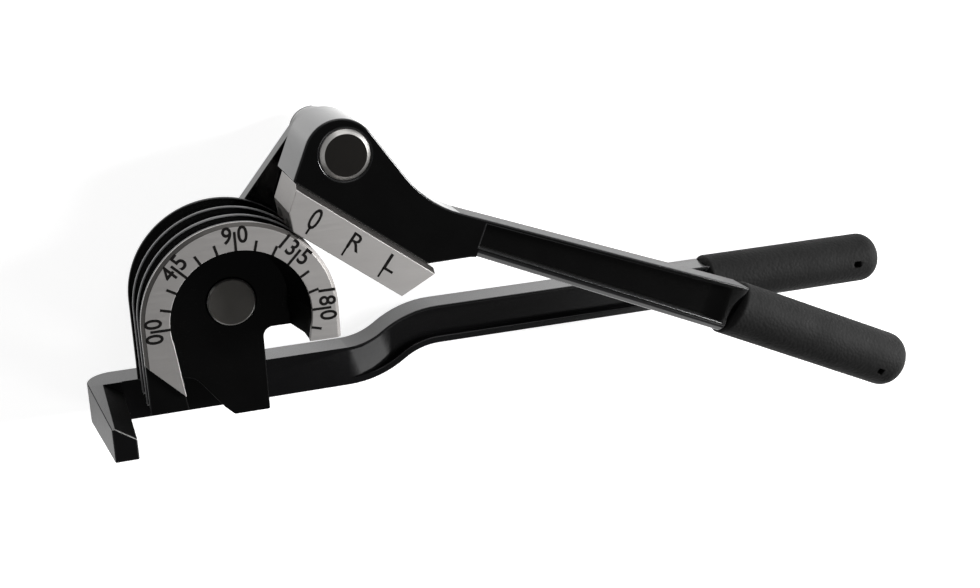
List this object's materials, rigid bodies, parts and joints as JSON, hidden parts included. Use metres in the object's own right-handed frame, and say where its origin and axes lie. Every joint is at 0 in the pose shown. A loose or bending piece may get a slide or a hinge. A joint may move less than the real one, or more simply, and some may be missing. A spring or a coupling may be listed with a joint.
{
  "type": "lever tube bender",
  "caption": "Hand lever tube bender: grooved forming wheel with angle scale on a cranked lower handle, link and upper lever with grooved forming shoe.",
  "frame": {"origin": "on the axis of the forming wheel, at the end face of the wheel pin that the tool rests on when it lies on its back", "axes": "+Z along the wheel axis out of the scale face, +X along the lower handle towards its grip, +Y towards the 90 degree mark"},
  "size_m": [0.2436, 0.0985, 0.0437],
  "materials": {
    "black_metal": "smooth black coating, satin gloss",
    "satin_metal": "satin light grey metal",
    "steel": "turned steel",
    "spring_steel": "dark spring steel",
    "bronze": "plain bronze",
    "grip": "matte charcoal, fine texture"
  },
  "bodies": {
    "handle": {"lower_handle": "black_metal", "form_wheel": "black_metal", "scale_ring": "satin_metal", "wheel_pivot_pin": "steel", "wheel_thrust_washer": "bronze", "wheel_pin_washer": "steel", "wheel_pin_clip": "spring_steel", "wheel_rivets": "steel", "lower_grip": "grip"},
    "link": {"link_arm": "black_metal", "link_bush": "bronze", "lever_pivot_pin": "steel", "lever_spacer": "steel", "lever_pin_washer": "steel", "lever_pin_clip": "spring_steel"},
    "lever": {"upper_lever": "black_metal", "forming_shoe": "satin_metal", "shoe_pins": "steel", "lever_pivot_bush": "bronze", "upper_grip": "grip"}
  },
  "joints": [
    {"name": "link_swing", "type": "hinge", "parent": "handle", "child": "link", "pos_m": [0, 0, 0.008], "axis": [0, 0, 1], "range_deg": [-52, 126]},
    {"name": "lever_pivot", "type": "hinge", "parent": "link", "child": "lever", "pos_m": [0.02978, 0.03853, 0.008], "axis": [0, 0, 1], "range_deg": [-1.5, 110]}
  ]
}
